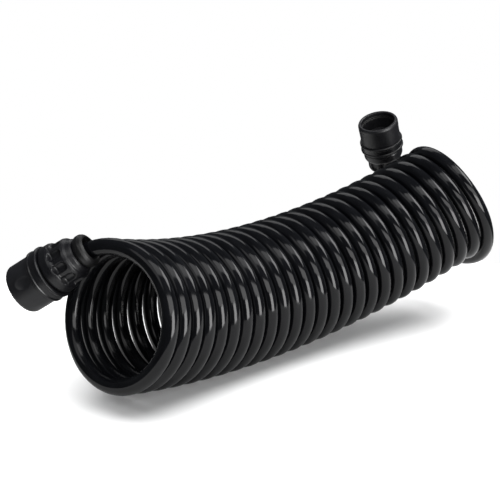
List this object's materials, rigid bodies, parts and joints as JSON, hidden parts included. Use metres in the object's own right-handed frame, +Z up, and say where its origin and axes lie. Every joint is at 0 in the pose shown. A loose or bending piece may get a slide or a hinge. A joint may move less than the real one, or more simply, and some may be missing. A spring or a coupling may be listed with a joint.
{
  "type": "self-coiling vacuum hose with swivel cuffs",
  "caption": "Self-coiling black hose wound as one long bent coil, with a swivelling push-on cuff and a clamp nut with finger pockets at each end.",
  "frame": {"origin": "under the middle of the whole hose's box, on the surface the coil's belly lies on", "axes": "+X along the coil from the left-hand fitting to the right-hand one, +Y to the back, +Z up"},
  "size_m": [0.4504, 0.1596, 0.1845],
  "materials": {
    "hose": "glossy polished black flexible tube",
    "cuff_plastic": "satin black moulded plastic",
    "collar_plastic": "satin black moulded plastic",
    "nut_plastic": "satin black moulded plastic",
    "bush_rubber": "matt black rubber",
    "spigot_plastic": "dark grey moulded plastic",
    "seal_rubber": "soft black rubber",
    "washer_plastic": "natural slippery plastic",
    "collet_plastic": "natural moulded plastic"
  },
  "bodies": {
    "root": {"hose_coil": "hose", "left_hose_tail": "hose", "left_hose_spigot": "spigot_plastic", "left_face_seal": "seal_rubber", "left_grip_collet": "collet_plastic"},
    "left_cuff_body": {"left_cuff": "cuff_plastic", "left_retaining_collar": "collar_plastic", "left_lip_seal": "seal_rubber", "left_thrust_washer": "washer_plastic"},
    "left_bush_body": {"left_bend_bush": "bush_rubber"},
    "left_nut_body": {"left_clamp_nut": "nut_plastic"},
    "right_end": {"right_hose_tail": "hose", "right_hose_spigot": "spigot_plastic", "right_face_seal": "seal_rubber", "right_grip_collet": "collet_plastic"},
    "right_cuff_body": {"right_cuff": "cuff_plastic", "right_retaining_collar": "collar_plastic", "right_lip_seal": "seal_rubber", "right_thrust_washer": "washer_plastic"},
    "right_bush_body": {"right_bend_bush": "bush_rubber"},
    "right_nut_body": {"right_clamp_nut": "nut_plastic"}
  },
  "joints": [
    {"name": "coil_stretch", "type": "slide", "parent": "root", "child": "right_end", "axis": [0.9925, 0, 0.1219], "range_m": [0, 0.9], "stiffness_N_per_m": 20},
    {"name": "left_cuff_swivel", "type": "hinge", "parent": "root", "child": "left_cuff_body", "pos_m": [-0.20293, 0.02709, 0.09188], "axis": [-0.5614, 0.626, -0.5413], "continuous": true},
    {"name": "left_nut_travel", "type": "slide", "parent": "root", "child": "left_bush_body", "axis": [0.5614, -0.626, 0.5413], "range_m": [0, 0.0045]},
    {"name": "left_nut_turn", "type": "hinge", "parent": "left_bush_body", "child": "left_nut_body", "pos_m": [-0.18609, 0.00831, 0.10812], "axis": [-0.5614, 0.626, -0.5413], "range_deg": [0, 540]},
    {"name": "right_cuff_swivel", "type": "hinge", "parent": "right_end", "child": "right_cuff_body", "pos_m": [0.17206, 0.05736, 0.16442], "axis": [-0.4175, -0.1546, 0.8954], "continuous": true},
    {"name": "right_nut_travel", "type": "slide", "parent": "right_end", "child": "right_bush_body", "axis": [0.4175, 0.1546, -0.8954], "range_m": [0, 0.0045]},
    {"name": "right_nut_turn", "type": "hinge", "parent": "right_bush_body", "child": "right_nut_body", "pos_m": [0.18459, 0.062, 0.13756], "axis": [-0.4175, -0.1546, 0.8954], "range_deg": [0, 540]}
  ],
  "couplings": [
    {"joint": "left_nut_travel", "follows": "left_nut_turn", "m_per_rad": 0.00047746},
    {"joint": "right_nut_travel", "follows": "right_nut_turn", "m_per_rad": 0.00047746}
  ]
}
